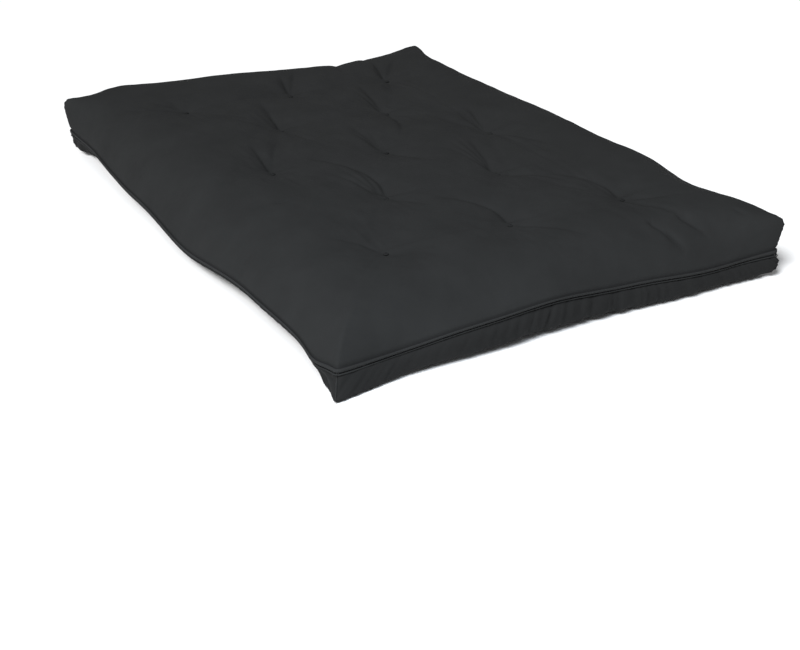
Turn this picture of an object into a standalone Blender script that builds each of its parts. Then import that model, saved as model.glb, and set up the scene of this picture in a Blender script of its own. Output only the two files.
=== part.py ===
"""Full-size tufted futon mattress: a two-part cotton twill case, its edge tape and welt, five layers of filling
and thirteen tufts.

Frame: +Z up, X across the fold, Y along it, origin on the floor under the centre. The mattress folds about the
line x = 0 at its top face, so each long piece is built as a seat half (x < 0) and a back half (x > 0).
"""

import math

import bmesh
import bpy
from mathutils import Matrix, Vector

# ---------------------------------------------------------------- driving dimensions, in metres
WIDTH = 1.37                # X, 54 inches, across the fold
LENGTH = 1.905              # Y, 75 inches, along the fold
THICKNESS = 0.20            # Z, nominal 8 inches, a little settled
SEAM_HEIGHT = 0.07          # the edge seam runs round the side, well below the middle
SEAM_PINCH = 0.012          # how far the seam pulls the sides in

CORNER_RADIUS = 0.045       # plan radius of the corners
SMALLEST_RADIUS = 0.004
CORNER_STEPS = 4

FABRIC = 0.002              # case fabric with its backing
GAP = 0.0005                # between neighbouring layers
FOLD_GAP = 0.001            # between the two halves at x = 0
BUMP_SETBACK = 0.0002       # keeps a bump's flat off the plane of the fold

FOAM_THICKNESS = 0.025
BATTING_THICKNESS = 0.030

TUFT_ROWS = 5
ROW_SPACING = 0.325         # along Y
COLUMN_SPACING = 0.382      # along X; every second row has one tuft fewer and sits between the others
PIT_DEPTH = 0.017           # how far a tuft pulls the case in
PIT_RADIUS = 0.080
FOAM_PIT_DEPTH = 0.006      # what is left of the pit below the batting
FOAM_PIT_RADIUS = 0.055
PIT_FLOOR_RADIUS = 0.011
PIT_SIDES = 8
CORD_HOLE_RADIUS = 0.004
CORD_RADIUS = 0.0012
TOUCH_GAP = 0.0003
BUTTON_RADIUS = 0.007
BUTTON_THICKNESS = 0.003
BUTTON_LIFT = 0.0008        # off the pit floor, whose edge rises under the middle buttons as the mattress folds

TAPE_WIDTH = 0.016
TAPE_THICKNESS = 0.0012
WELT_RADIUS = 0.003

# The side of the case above the seam, as (inset from the widest plan, height): out from the seam, over the upper
# bulge and in to the flat top. The side below the seam is the same idea, flatter, down to the floor.
UPPER_SIDE = [
    (SEAM_PINCH, SEAM_HEIGHT + GAP),
    (0.003, 0.098),
    (0.0, 0.130),
    (0.010, 0.163),
    (0.034, 0.187),
    (0.075, THICKNESS),
]
LOWER_SIDE = [
    (SEAM_PINCH, SEAM_HEIGHT - GAP),
    (0.003, 0.052),
    (0.0, 0.036),
    (0.007, 0.017),
    (0.022, 0.005),
    (0.050, 0.0),
]

# ---------------------------------------------------------------- colours and finishes
BLACK_TWILL = ("black_twill", (0.030, 0.032, 0.034), 0.85)
BLACK_TAPE = ("black_tape", (0.026, 0.028, 0.030), 0.75)
BLACK_TWINE = ("black_twine", (0.015, 0.015, 0.016), 0.70)
COTTON = ("cotton_batting", (0.78, 0.75, 0.68), 0.95)
SOFT_FOAM = ("soft_foam", (0.80, 0.74, 0.52), 0.90)
CORE_FOAM = ("core_foam", (0.55, 0.62, 0.66), 0.90)
SEAT, BACK = -1, 1
HALF_NAMES = {SEAT: "seat", BACK: "back"}


def clear_scene():
    """Removes the objects that the startup file holds."""
    for obj in list(bpy.data.objects):
        bpy.data.objects.remove(obj, do_unlink=True)


def material(finish):
    """The Principled material for one finish, made once."""
    name, colour, roughness = finish
    made = bpy.data.materials.get(name)
    if made is None:
        made = bpy.data.materials.new(name)
        made.use_nodes = True
        shader = made.node_tree.nodes["Principled BSDF"]
        shader.inputs["Base Color"].default_value = (*colour, 1.0)
        shader.inputs["Roughness"].default_value = roughness
        shader.inputs["Metallic"].default_value = 0.0
    return made


def add_object(name, mesh, finish=None):
    """Links a mesh as an object; without a finish it is a hidden cutter."""
    obj = bpy.data.objects.new(name, mesh)
    bpy.context.scene.collection.objects.link(obj)
    if finish is None:
        obj.hide_render = True
        obj.display_type = "WIRE"
    else:
        mesh.materials.append(material(finish))
    return obj


# ---------------------------------------------------------------- plan outlines and profiles
def half_path(inset, height, side, fold=FOLD_GAP / 2):
    """Points along one half of the plan, from the fold at -Y round the two corners to the fold at +Y."""
    half_x = WIDTH / 2 - inset
    half_y = LENGTH / 2 - inset
    radius = max(CORNER_RADIUS - inset, SMALLEST_RADIUS)
    points = [(fold, -half_y)]
    for corner, start in ((-1, -90), (1, 0)):
        for step in range(CORNER_STEPS + 1):
            angle = math.radians(start + 90 * step / CORNER_STEPS)
            x = half_x - radius + radius * math.cos(angle)
            y = corner * (half_y - radius) + radius * math.sin(angle)
            points.append((x, y))
    points.append((fold, half_y))
    return [Vector((side * x, y, height)) for x, y in points]


def offset_profile(profile, distance):
    """The (inset, height) profile moved inwards, into the mattress, by distance along its normals."""
    moved = []
    last = len(profile) - 1
    upward = profile[last][1] > profile[0][1]
    for i, (inset, height) in enumerate(profile):
        before = Vector(profile[max(i - 1, 0)])
        after = Vector(profile[min(i + 1, last)])
        along = (after - before).normalized()
        inward = Vector((along.y, -along.x)) if upward else Vector((-along.y, along.x))
        moved.append((inset + inward.x * distance, height + inward.y * distance))
    start, end = moved[0], moved[last]
    moved[0] = (start[0], profile[0][1])
    moved[last] = (end[0], profile[last][1] + (-distance if upward else distance))
    return moved


def envelope():
    """The outside of the whole filling as one profile, from its bottom face up to its top face."""
    reach = FABRIC + GAP
    lower = offset_profile(LOWER_SIDE, reach)[::-1]
    upper = offset_profile(UPPER_SIDE, reach)
    seam = (max(lower[-1][0], upper[0][0]), SEAM_HEIGHT)
    return lower[:-1] + [seam] + upper[1:]


def between(profile, low, high):
    """The stretch of a rising profile between two heights."""

    def at(height):
        for (inset_a, z_a), (inset_b, z_b) in zip(profile, profile[1:]):
            if z_a <= height <= z_b:
                share = (height - z_a) / (z_b - z_a)
                return (inset_a + share * (inset_b - inset_a), height)
        return profile[0] if height < profile[0][1] else profile[-1]

    inside = [point for point in profile if low < point[1] < high]
    return [at(low)] + inside + [at(high)]


# ---------------------------------------------------------------- solids
def solid_from_rings(rings, closed_section=False):
    """A closed mesh through rings of equal length. The ends are capped, or the section is closed on itself."""
    work = bmesh.new()
    made = [[work.verts.new(point) for point in ring] for ring in rings]
    count = len(made[0])
    pairs = list(zip(made, made[1:]))
    if closed_section:
        pairs.append((made[-1], made[0]))
        steps = range(count - 1)
        work.faces.new([ring[0] for ring in made])
        work.faces.new([ring[-1] for ring in reversed(made)])
    else:
        steps = range(count)
        work.faces.new(made[0])
        work.faces.new(list(reversed(made[-1])))
    for lower, upper in pairs:
        for i in steps:
            j = (i + 1) % count
            work.faces.new((lower[i], upper[i], upper[j], lower[j]))
    bmesh.ops.recalc_face_normals(work, faces=work.faces)
    mesh = bpy.data.meshes.new("solid")
    work.to_mesh(mesh)
    work.free()
    return mesh


def slab(profile, side, fold=FOLD_GAP / 2):
    """One half of a layer whose side follows the profile."""
    return solid_from_rings([half_path(inset, z, side, fold) for inset, z in profile])


def strip(section, side):
    """One half of a band that runs round the edge with the given (inset, height) section."""
    return solid_from_rings([half_path(inset, z, side) for inset, z in section], closed_section=True)


def hollow(name, profile, side):
    """The cutter that leaves a case half as a tray of fabric, open at the seam and at the fold."""
    inner = offset_profile(profile, FABRIC)
    mouth = (inner[0][0], 2 * SEAM_HEIGHT - inner[-1][1])
    return add_object(name, slab([mouth] + inner, side, fold=-FABRIC))


def tuft_places():
    """The (x, y) of each tuft, row by row."""
    places = []
    for row in range(TUFT_ROWS):
        count = 3 - row % 2
        y = (row - (TUFT_ROWS - 1) / 2) * ROW_SPACING
        for column in range(count):
            x = (column - (count - 1) / 2) * COLUMN_SPACING
            places.append((x, y))
    return places


def turned_ring(x, y, radius, height, sides=PIT_SIDES):
    """A polygon about a vertical axis."""
    angles = [math.tau * step / sides for step in range(sides)]
    return [Vector((x + radius * math.cos(a), y + radius * math.sin(a), height)) for a in angles]


def half_ring(y, radius, height, side):
    """The half of a polygon about an axis on the fold that lies on one side of it."""
    points = []
    for step in range(PIT_SIDES // 2 + 1):
        angle = math.tau * step / PIT_SIDES - math.pi / 2
        across = max(radius * math.cos(angle), FOLD_GAP / 2 + BUMP_SETBACK)
        points.append(Vector((side * across, y + radius * math.sin(angle), height)))
    return points


def frusta(name, stations, side, halved=False):
    """A helper object with one turned solid at each tuft of this half; stations are (radius, height). Those on
    the fold stand across it, unless they are halved to stay on their own side."""
    work = bmesh.new()
    for x, y in tuft_places():
        on_fold = abs(x) < GAP
        if not on_fold and x * side < 0:
            continue
        if on_fold and halved:
            rings = [half_ring(y, radius, z, side) for radius, z in stations]
        else:
            rings = [turned_ring(x, y, radius, z) for radius, z in stations]
        piece = solid_from_rings(rings)
        work.from_mesh(piece)
        bpy.data.meshes.remove(piece)
    mesh = bpy.data.meshes.new(name)
    work.to_mesh(mesh)
    work.free()
    return add_object(name, mesh)


def combine(obj, helper, operation):
    """Adds the Boolean to the object with the exact solver."""
    modifier = obj.modifiers.new(helper.name, "BOOLEAN")
    modifier.operation = operation
    modifier.solver = "EXACT"
    modifier.object = helper


# ---------------------------------------------------------------- tuft pits
def face_height(depth, upper):
    """The height of the layer boundary that lies depth below the top face, or above the floor."""
    return THICKNESS - depth if upper else depth


def cone_stations(depth, pit_depth, pit_radius, upper, above):
    """Stations of the cone that a tuft makes in the boundary at depth; above extends it past the boundary."""
    slope = (pit_radius - PIT_FLOOR_RADIUS) / pit_depth
    floor = face_height(depth + pit_depth, upper)
    mouth = face_height(depth - above, upper)
    return [(PIT_FLOOR_RADIUS, floor), (pit_radius + slope * above, mouth)]


def pits(name, depth, upper, side, deep=True):
    """Cutters for the tuft pits in the boundary at depth."""
    pit_depth, pit_radius = (PIT_DEPTH, PIT_RADIUS) if deep else (FOAM_PIT_DEPTH, FOAM_PIT_RADIUS)
    return frusta(name, cone_stations(depth, pit_depth, pit_radius, upper, above=0.004), side)


def bumps(name, depth, upper, side, deep=True):
    """Material to add under the tuft pits in the boundary at depth."""
    pit_depth, pit_radius = (PIT_DEPTH, PIT_RADIUS) if deep else (FOAM_PIT_DEPTH, FOAM_PIT_RADIUS)
    stations = cone_stations(depth, pit_depth, pit_radius, upper, above=FABRIC / 2)
    return frusta(name, stations, side, halved=True)


# ---------------------------------------------------------------- the pieces
def build_case(side, upper, cord_holes):
    """One half of the upper or lower case part, with its tuft pits."""
    half, face = HALF_NAMES[side], "top" if upper else "bottom"
    profile = UPPER_SIDE if upper else LOWER_SIDE
    case = add_object(f"{half}_{face}_case", slab(profile, side), BLACK_TWILL)
    combine(case, hollow(f"{half}_{face}_case_hollow", profile, side), "DIFFERENCE")
    combine(case, bumps(f"{half}_{face}_case_bumps", FABRIC, upper, side), "UNION")
    combine(case, pits(f"{half}_{face}_case_pits", 0.0, upper, side), "DIFFERENCE")
    combine(case, cord_holes, "DIFFERENCE")


def build_batting(side, upper, cord_holes):
    """One half of a cotton batting layer, which the tufts squeeze thin."""
    half, face = HALF_NAMES[side], "top" if upper else "bottom"
    outer = FABRIC + GAP
    inner = outer + BATTING_THICKNESS
    low, high = sorted((face_height(outer, upper), face_height(inner, upper)))
    layer = add_object(f"{half}_{face}_batting", slab(between(envelope(), low, high), side), COTTON)
    combine(layer, bumps(f"{half}_{face}_batting_bumps", inner, upper, side, deep=False), "UNION")
    combine(layer, pits(f"{half}_{face}_batting_pits", outer, upper, side), "DIFFERENCE")
    combine(layer, cord_holes, "DIFFERENCE")


def foam_depths():
    """Depths of the outer and inner face of a foam layer."""
    outer = FABRIC + GAP + BATTING_THICKNESS + GAP
    return outer, outer + FOAM_THICKNESS


def build_foam(side, upper, cord_holes):
    """One half of a comfort foam layer, dimpled where the tufts press the batting into it."""
    half, face = HALF_NAMES[side], "top" if upper else "bottom"
    outer, inner = foam_depths()
    low, high = sorted((face_height(outer, upper), face_height(inner, upper)))
    layer = add_object(f"{half}_{face}_foam", slab(between(envelope(), low, high), side), SOFT_FOAM)
    combine(layer, pits(f"{half}_{face}_foam_pits", outer, upper, side, deep=False), "DIFFERENCE")
    combine(layer, cord_holes, "DIFFERENCE")


def build_core(side, cord_holes):
    """One half of the firm foam core."""
    depth = foam_depths()[1] + GAP
    profile = between(envelope(), depth, THICKNESS - depth)
    core = add_object(f"{HALF_NAMES[side]}_core", slab(profile, side), CORE_FOAM)
    combine(core, cord_holes, "DIFFERENCE")


def build_edge(side):
    """One half of the flat tape above the seam and of the round welt in it."""
    (inset_a, z_a), (inset_b, z_b) = UPPER_SIDE[:2]
    along = Vector((inset_b - inset_a, z_b - z_a)).normalized()
    outward = Vector((-along.y, along.x))
    start = Vector((inset_a, z_a)) + along * 0.004
    section = []
    for run, rise in ((0, 0), (TAPE_WIDTH, 0), (TAPE_WIDTH, TAPE_THICKNESS), (0, TAPE_THICKNESS)):
        section.append(start + along * run + outward * (TOUCH_GAP + rise))
    add_object(f"{HALF_NAMES[side]}_edge_tape", strip(section, side), BLACK_TAPE)

    centre = Vector((SEAM_PINCH - TOUCH_GAP - WELT_RADIUS, SEAM_HEIGHT))
    section = []
    for step in range(PIT_SIDES):
        angle = math.tau * (step + 0.5) / PIT_SIDES
        section.append(centre + WELT_RADIUS * Vector((math.cos(angle), math.sin(angle))))
    welt = add_object(f"{HALF_NAMES[side]}_welt_cord", strip(section, side), BLACK_TAPE)
    welt.data.shade_smooth()
    welt.data.set_sharp_from_angle(angle=math.radians(60))


def turned_mesh(stations, sides):
    """A turned solid about the Z axis through (radius, height) stations."""
    rings = [turned_ring(0, 0, radius, z, sides) for radius, z in stations]
    mesh = solid_from_rings(rings)
    mesh.shade_smooth()
    mesh.set_sharp_from_angle(angle=math.radians(40))
    return mesh


def build_tufts():
    """Each tuft: a twine through the mattress and a felt button on it in the pit on each face."""
    top_seat = THICKNESS - PIT_DEPTH + BUTTON_LIFT
    bottom_seat = PIT_DEPTH - BUTTON_LIFT
    button_profile = [
        (BUTTON_RADIUS * 0.93, 0.0),
        (BUTTON_RADIUS, BUTTON_THICKNESS * 0.35),
        (BUTTON_RADIUS * 0.72, BUTTON_THICKNESS),
    ]
    button = turned_mesh(button_profile, sides=12)
    ends = (bottom_seat + TOUCH_GAP, top_seat - TOUCH_GAP)
    cord = turned_mesh([(CORD_RADIUS, end) for end in ends], sides=8)
    for mesh in (button, cord):
        mesh.materials.append(material(BLACK_TWINE))
    upside_down = Matrix.Rotation(math.pi, 4, "X")
    for number, (x, y) in enumerate(tuft_places(), start=1):
        name = f"tuft_{number:02d}"
        twine = bpy.data.objects.new(f"{name}_twine", cord)
        twine.location = (x, y, 0)
        upper = bpy.data.objects.new(f"{name}_top_button", button)
        upper.location = (x, y, top_seat)
        lower = bpy.data.objects.new(f"{name}_bottom_button", button)
        lower.matrix_world = Matrix.Translation((x, y, bottom_seat)) @ upside_down
        for obj in (twine, upper, lower):
            bpy.context.scene.collection.objects.link(obj)


def hang_on_fold():
    """Parents the back half to an empty on the axis that it folds about, leaving every piece where it is."""
    fold_line = bpy.data.objects.new("sofa_fold", None)
    fold_line.location = (0, 0, THICKNESS)
    for obj in list(bpy.data.objects):
        if obj.name.startswith(HALF_NAMES[BACK]) or obj.location.x > GAP:
            obj.parent = fold_line
            obj.matrix_parent_inverse = Matrix.Translation(-fold_line.location)
    bpy.context.scene.collection.objects.link(fold_line)


def main():
    clear_scene()
    for side in (SEAT, BACK):
        through = [(CORD_HOLE_RADIUS, 0.01), (CORD_HOLE_RADIUS, THICKNESS - 0.01)]
        cord_holes = frusta(f"{HALF_NAMES[side]}_cord_holes", through, side)
        for upper in (True, False):
            build_case(side, upper, cord_holes)
            build_batting(side, upper, cord_holes)
            build_foam(side, upper, cord_holes)
        build_core(side, cord_holes)
        build_edge(side)
    build_tufts()
    hang_on_fold()


main()
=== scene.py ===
"""The looks of a full-size tufted futon mattress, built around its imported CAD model.

The case is two cloth panels, each a regular grid that runs over one face and down the side to the edge seam.
Cloth simulation puffs each panel between its tufts. Everything else, such as the tape, the welt, the stitches
and the filling, is laid on or in the same two panels, so it all follows one shape.
"""

import math

import bpy
import numpy as np
from mathutils import Matrix, Vector


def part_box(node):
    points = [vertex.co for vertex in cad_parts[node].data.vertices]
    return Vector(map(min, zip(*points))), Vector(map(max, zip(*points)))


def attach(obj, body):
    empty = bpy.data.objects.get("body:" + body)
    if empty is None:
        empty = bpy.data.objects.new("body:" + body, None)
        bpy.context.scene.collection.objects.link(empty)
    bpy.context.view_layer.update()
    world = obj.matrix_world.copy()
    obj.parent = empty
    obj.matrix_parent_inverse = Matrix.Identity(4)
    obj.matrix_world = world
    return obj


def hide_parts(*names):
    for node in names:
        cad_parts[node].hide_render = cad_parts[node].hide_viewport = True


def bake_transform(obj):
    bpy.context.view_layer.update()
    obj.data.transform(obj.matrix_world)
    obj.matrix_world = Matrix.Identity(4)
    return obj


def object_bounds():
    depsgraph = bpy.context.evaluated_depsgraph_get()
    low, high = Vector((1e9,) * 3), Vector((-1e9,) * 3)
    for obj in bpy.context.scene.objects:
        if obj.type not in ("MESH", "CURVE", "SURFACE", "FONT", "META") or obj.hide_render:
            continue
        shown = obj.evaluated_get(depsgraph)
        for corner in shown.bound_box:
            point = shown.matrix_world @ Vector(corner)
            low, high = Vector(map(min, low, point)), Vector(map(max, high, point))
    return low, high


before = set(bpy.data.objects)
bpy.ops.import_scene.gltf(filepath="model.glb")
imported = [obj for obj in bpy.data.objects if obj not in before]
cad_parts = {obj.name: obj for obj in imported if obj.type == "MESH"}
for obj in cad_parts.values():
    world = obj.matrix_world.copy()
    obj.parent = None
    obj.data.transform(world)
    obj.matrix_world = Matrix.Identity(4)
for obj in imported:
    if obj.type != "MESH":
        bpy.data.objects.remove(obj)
CAD_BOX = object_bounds()

SEAT, BACK = "seat_half", "back_half"

# ---------------------------------------------------------------- sizes read from the frame, in metres
LOW, HIGH = (Vector(corner) for corner in CAD_BOX)
HALF_X, HALF_Y, TOP = HIGH.x, HIGH.y, HIGH.z
SEAM = (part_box("seat_top_case")[0].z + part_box("seat_bottom_case")[1].z) / 2
TUFTS = sorted(name[:7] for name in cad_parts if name.endswith("_twine"))


def tuft_place(tuft):
    """Where a tuft's twine stands, and the heights of its two pit floors."""
    low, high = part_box(f"{tuft}_twine")
    return (low.x + high.x) / 2, (low.y + high.y) / 2, low.z, high.z


def link(obj):
    """The object, now in the scene."""
    bpy.context.scene.collection.objects.link(obj)
    return obj


TUFT_XY = np.array([tuft_place(tuft)[:2] for tuft in TUFTS])
PIT = TOP - tuft_place(TUFTS[0])[3]
FOLD_REACH = 0.16               # how far to each side of the fold line the mattress bends

# ---------------------------------------------------------------- the side of each panel
# (inset from the widest outline, height), from the flat of the face out and round to the seam. The left and
# front sides have settled into a long slope, and the right and back ones stand fuller. The panels are cut as
# rectangles, so the corners stand out.
UPPER_SLOPED = [(0.26, 0.200), (0.18, 0.201), (0.12, 0.193), (0.075, 0.178), (0.040, 0.155),
                (0.017, 0.128), (0.005, 0.104), (-0.001, 0.085), (0.004, 0.0725)]
UPPER_FULL = [(0.26, 0.200), (0.17, 0.204), (0.10, 0.208), (0.055, 0.207), (0.024, 0.198),
              (0.006, 0.174), (0.000, 0.140), (0.001, 0.105), (0.004, 0.0725)]
UPPER_SOFT_CORNER = [(0.26, 0.200), (0.17, 0.199), (0.10, 0.189), (0.05, 0.167), (0.020, 0.138),
                     (0.003, 0.108), (-0.003, 0.088), (-0.004, 0.080), (-0.003, 0.0725)]
UPPER_EAR = [(0.26, 0.200), (0.17, 0.204), (0.10, 0.205), (0.045, 0.203), (0.004, 0.197),
             (-0.012, 0.176), (-0.009, 0.135), (-0.003, 0.100), (0.001, 0.0725)]
UPPER_LOW_EAR = [(0.26, 0.200), (0.17, 0.200), (0.10, 0.198), (0.045, 0.193), (0.004, 0.185),
                 (-0.013, 0.168), (-0.010, 0.130), (-0.006, 0.098), (-0.005, 0.0725)]
UPPER_PEAK = [(0.26, 0.200), (0.17, 0.204), (0.10, 0.205), (0.045, 0.206), (0.004, 0.207),
              (-0.009, 0.196), (-0.008, 0.140), (-0.003, 0.100), (0.001, 0.0725)]
LOWER_ROUND = [(0.26, 0.000), (0.16, 0.000), (0.09, 0.000), (0.040, 0.001), (0.014, 0.007),
               (0.002, 0.022), (-0.002, 0.042), (-0.002, 0.058), (0.004, 0.0675)]
LOWER_TUCKED = [(0.26, 0.000), (0.17, 0.000), (0.125, 0.003), (0.090, 0.013), (0.058, 0.028),
                (0.030, 0.044), (0.011, 0.056), (0.003, 0.062), (0.004, 0.0675)]
LOWER_TIP = [(0.26, 0.000), (0.15, 0.000), (0.06, 0.000), (0.010, 0.000), (-0.013, 0.001),
             (-0.017, 0.012), (-0.011, 0.034), (-0.006, 0.056), (-0.003, 0.0675)]
LOWER_FULL_TIP = [(0.26, 0.000), (0.15, 0.000), (0.06, 0.001), (0.020, 0.004), (0.000, 0.011),
                  (-0.011, 0.024), (-0.016, 0.042), (-0.013, 0.057), (-0.007, 0.0675)]
LOWER_LIFTED_TIP = [(0.26, 0.000), (0.15, 0.000), (0.09, 0.002), (0.050, 0.006), (0.022, 0.014),
                    (0.008, 0.028), (0.003, 0.045), (0.001, 0.058), (0.001, 0.0675)]
CORNER_RADIUS = 0.010           # plan radius at the seam
UPPER_CORNER_REACHES = [0.085, 0.085, 0.085, 0.085]
LOWER_CORNER_REACHES = [0.130, 0.085, 0.085, 0.085]
GRID_STEP = 0.014               # of the cloth that is simulated
UPPER_FINER, LOWER_FINER = 3, 2  # how many steps of a finished panel make one of its cloth
TAPE_WIDTH = 0.014
BENT_FROM = TOP + 0.008         # what stands higher than this is pressed towards HIGHEST
HIGHEST = TOP + 0.0145          # the puffed face stays below this


# ---------------------------------------------------------------- waves and curves
def waves(a, b, wavelength, seed, count=24):
    """A smooth random field over two coordinates, about one unit high: sine waves in random directions."""
    random = np.random.default_rng(seed)
    total = np.zeros(np.broadcast(a, b).shape)
    for _ in range(count):
        angle = random.uniform(0, math.tau)
        length = wavelength * random.uniform(0.7, 1.5)
        phase = random.uniform(0, math.tau)
        total += np.sin(math.tau * (np.cos(angle) * a + np.sin(angle) * b) / length + phase)
    return total * math.sqrt(2 / count)


def ease(value, start, end):
    """Rises smoothly from 0 at start to 1 at end."""
    t = np.clip((value - start) / (end - start), 0, 1)
    return t * t * (3 - 2 * t)


def bump(value, centre, width):
    """A smooth hill, 1 high."""
    return np.exp(-(((value - centre) / width) ** 2))


def bumps(value, hills):
    """The sum of smooth hills, each given as (height, centre, width)."""
    return sum(height * bump(value, centre, width) for height, centre, width in hills)


def curve_through(points, count=200):
    """The (inset, height) points as a dense smooth line, how far along it each sample is, and its length."""
    points = np.array(points)
    knots = np.arange(len(points))
    slopes = np.gradient(points, axis=0)
    at = np.linspace(0, knots[-1], count)
    i = np.minimum(at.astype(int), len(points) - 2)
    t = (at - i)[:, None]
    h00, h10 = 2 * t**3 - 3 * t**2 + 1, t**3 - 2 * t**2 + t
    h01, h11 = -2 * t**3 + 3 * t**2, t**3 - t**2
    line = h00 * points[i] + h10 * slopes[i] + h01 * points[i + 1] + h11 * slopes[i + 1]
    lengths = np.concatenate([[0], np.cumsum(np.hypot(*np.diff(line, axis=0).T))])
    return line, lengths / lengths[-1], lengths[-1]


# ---------------------------------------------------------------- a panel of the case
class Panel:
    """One face of the case with its share of the side. A place on it is (s, t), in metres along the cloth
    from its middle. The flat of the face ends at flat_x and flat_y, and the seam is at reach past that. Each
    side and corner has its own profile: sides are left, right, front and back, and corners are front left,
    front right, back right and back left. A corner's profile fades out over its reach along the side."""

    def __init__(self, sides, corners, corner_reaches, upper):
        self.upper = upper
        self.corner_reaches = corner_reaches
        self.sides = [curve_through(side) for side in sides]
        self.corners = [curve_through(corner) for corner in corners]
        self.reach = sum(length for _, _, length in self.sides) / 4
        self.flat_x = HALF_X - sides[0][0][0]
        self.flat_y = HALF_Y - sides[0][0][0]

    def out(self, s, t):
        """How far out towards the seam a place is on each axis, from 0 on the flat to 1 at the seam."""
        ds = np.maximum(np.abs(s) - self.flat_x, 0) / self.reach
        dt = np.maximum(np.abs(t) - self.flat_y, 0) / self.reach
        return ds, dt

    def section(self, s, t, ds, dt):
        """The inset and height of each place, from the profiles of the sides and corners it lies between."""
        d = np.maximum(ds, dt)
        right = ease(s, -0.3, 0.3)
        back = ease(t, -0.3, 0.3)
        left, front = 1 - right, 1 - back
        across = ease(ds - dt, -0.12, 0.12)
        along = (d - np.minimum(ds, dt)) * self.reach
        side_shares = [across * left, across * right, (1 - across) * front, (1 - across) * back]
        corner_shares = [left * front, right * front, right * back, left * back]
        corner_reach = sum(reach * share for reach, share in zip(self.corner_reaches, corner_shares))
        corner = np.exp(-((along / corner_reach) ** 2)) * ease(d, 0, 0.5)
        inset, height = np.zeros(d.shape), np.zeros(d.shape)
        parts = [(self.sides, side_shares, 1 - corner), (self.corners, corner_shares, corner)]
        for curves, shares, part in parts:
            for (line, share, _), weight in zip(curves, shares):
                inset += np.interp(d, share, line[:, 0]) * weight * part
                height += np.interp(d, share, line[:, 1]) * weight * part
        return inset, height

    def place(self, s, t):
        """The smooth shape of the panel, without its tufts, before it settles."""
        ds, dt = self.out(s, t)
        d = np.maximum(ds, dt)
        inset, height = self.section(s, t, ds, dt)
        half_x, half_y = HALF_X - inset, HALF_Y - inset
        x = s * half_x / (self.flat_x + d * self.reach)
        y = t * half_y / (self.flat_y + d * self.reach)
        radius = CORNER_RADIUS * ease(d, 0.4, 1.0) + 1e-6
        cx = (np.abs(x) - (half_x - radius)) / radius
        cy = (np.abs(y) - (half_y - radius)) / radius
        both = (cx > 0) & (cy > 0)
        rounder = np.where(both, np.maximum(cx, cy) / np.maximum(np.hypot(cx, cy), 1e-9), 1.0)
        x = np.where(both, np.sign(x) * (half_x - radius + cx * rounder * radius), x)
        y = np.where(both, np.sign(y) * (half_y - radius + cy * rounder * radius), y)
        return np.stack([x, y, height], -1)

    def ring(self, share, spacing):
        """Evenly spaced places (s, t) round the panel, corners too, at one share of the way to the seam."""
        a = self.flat_x + share * self.reach
        b = self.flat_y + share * self.reach
        corners = [(-a, -b), (a, -b), (a, b), (-a, b), (-a, -b)]
        s, t = [], []
        for (s0, t0), (s1, t1) in zip(corners, corners[1:]):
            count = round(math.hypot(s1 - s0, t1 - t0) / spacing)
            part = np.arange(count) / count
            s.append(s0 + (s1 - s0) * part)
            t.append(t0 + (t1 - t0) * part)
        return np.concatenate(s), np.concatenate(t)

    def grid(self, step):
        """The (s, t) of a regular grid over the whole panel."""
        outer = round(self.reach / step)
        axes = []
        for flat in (self.flat_x, self.flat_y):
            inner = 2 * round(flat / step)
            middle = np.linspace(-flat, flat, inner + 1)
            rim = flat + self.reach * np.arange(1, outer + 1) / outer
            axes.append(np.concatenate([-rim[::-1], middle, rim]))
        return np.meshgrid(*axes, indexing="ij")


UPPER = Panel([UPPER_SLOPED, UPPER_FULL, UPPER_SLOPED, UPPER_FULL],
              [UPPER_SOFT_CORNER, UPPER_LOW_EAR, UPPER_PEAK, UPPER_EAR], UPPER_CORNER_REACHES, True)
LOWER = Panel([LOWER_TUCKED, LOWER_ROUND, LOWER_ROUND, LOWER_ROUND],
              [LOWER_TIP, LOWER_FULL_TIP, LOWER_TIP, LOWER_LIFTED_TIP], LOWER_CORNER_REACHES, False)

# ---------------------------------------------------------------- how the whole mattress has settled
# Hills along a side, as (height, centre, width). The names say which side and what they do there.
LEFT_SAG = [(0.043, -0.05, 0.33), (0.018, 0.42, 0.22)]
LEFT_CORNER_DROOP = [(0.028, -0.855, 0.065)]
FRONT_SEAM_RISE = [(0.033, -0.13, 0.27), (0.006, 0.25, 0.15), (-0.004, 0.52, 0.12)]
FRONT_UNDERSIDE_LIFT = [(0.006, -0.13, 0.30)]
BACK_SHOULDER_RISE = [(0.013, -0.48, 0.17), (0.008, -0.14, 0.13), (-0.014, 0.33, 0.20)]
BACK_BULGE = [(0.046, -0.51, 0.13), (0.015, -0.18, 0.18)]
RIGHT_SHOULDER_DIP = [(0.026, -0.66, 0.14)]
SIDE_DEPTH = 0.16               # how far in from the outline a side's own shape reaches
SAG_OUT, DROOP_OUT, SAG_DOWN = 0.42, 0.35, 0.62  # what part of such a hill moves the side out, and down


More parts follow.
